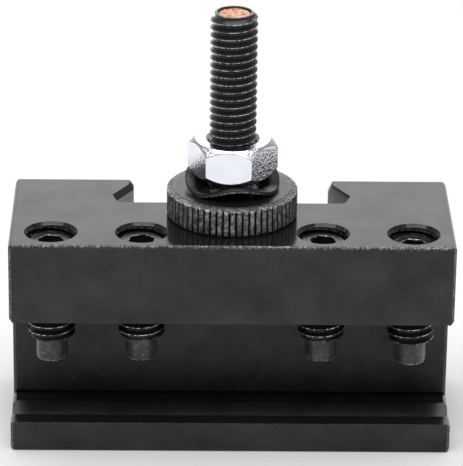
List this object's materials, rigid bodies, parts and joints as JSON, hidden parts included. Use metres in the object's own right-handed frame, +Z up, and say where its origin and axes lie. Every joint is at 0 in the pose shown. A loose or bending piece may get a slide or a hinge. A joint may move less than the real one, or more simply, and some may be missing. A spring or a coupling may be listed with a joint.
{
  "type": "quick change tool holder",
  "caption": "Steel quick-change lathe tool holder: dovetailed block with a vee-grooved tool slot, dog-point clamping screws and a height stud with knurled nut and lock nut.",
  "frame": {"origin": "middle of the bottom of the bounding box, on the holder body's bottom face", "axes": "+Z up along the dovetail and the stud; +X along the block; -Y out of the tool slot's open front; +Y out of the dovetail"},
  "size_m": [0.056, 0.022, 0.0556],
  "materials": {
    "black_oxide_block": "satin black oxide on ground steel, worn along the edges",
    "black_oxide_thread": "oiled black oxide on a rolled thread",
    "copper_plug": "rough sawn copper",
    "black_oxide_knurl": "black oxide on turned and knurled steel",
    "spring_steel": "blackened spring steel",
    "zinc_plate": "bright zinc plate",
    "black_oxide_screw": "black oxide on alloy steel"
  },
  "bodies": {
    "root": {"holder_body": "black_oxide_block", "height_stud": "black_oxide_thread", "stud_plug": "copper_plug"},
    "wave_washer": {"wave_washer": "spring_steel"},
    "knurled_nut": {"knurled_nut": "black_oxide_knurl"},
    "lock_nut": {"lock_nut": "zinc_plate"},
    "set_screw_1": {"set_screw_1": "black_oxide_screw"},
    "set_screw_2": {"set_screw_2": "black_oxide_screw"},
    "set_screw_3": {"set_screw_3": "black_oxide_screw"},
    "set_screw_4": {"set_screw_4": "black_oxide_screw"}
  },
  "joints": [
    {"name": "nut_lift", "type": "slide", "parent": "root", "child": "wave_washer", "axis": [0, 0, 1], "range_m": [0, 0.0161]},
    {"name": "knurled_nut_spin", "type": "hinge", "parent": "wave_washer", "child": "knurled_nut", "pos_m": [0, -0.00015, 0.0304], "axis": [0, 0, 1], "range_deg": [0, 5760]},
    {"name": "lock_nut_spin", "type": "hinge", "parent": "wave_washer", "child": "lock_nut", "pos_m": [0, -0.00015, 0.0365], "axis": [0, 0, 1], "range_deg": [0, 5796]},
    {"name": "set_screw_1_travel", "type": "slide", "parent": "root", "child": "set_screw_1", "axis": [0, 0, 1], "range_m": [-0.007, 0.006]},
    {"name": "set_screw_2_travel", "type": "slide", "parent": "root", "child": "set_screw_2", "axis": [0, 0, 1], "range_m": [-0.007, 0.006]},
    {"name": "set_screw_3_travel", "type": "slide", "parent": "root", "child": "set_screw_3", "axis": [0, 0, 1], "range_m": [-0.007, 0.006]},
    {"name": "set_screw_4_travel", "type": "slide", "parent": "root", "child": "set_screw_4", "axis": [0, 0, 1], "range_m": [-0.007, 0.006]}
  ],
  "couplings": [
    {"joint": "nut_lift", "follows": "knurled_nut_spin", "m_per_rad": 0.00015915},
    {"joint": "lock_nut_spin", "follows": "knurled_nut_spin", "ratio": 1}
  ]
}
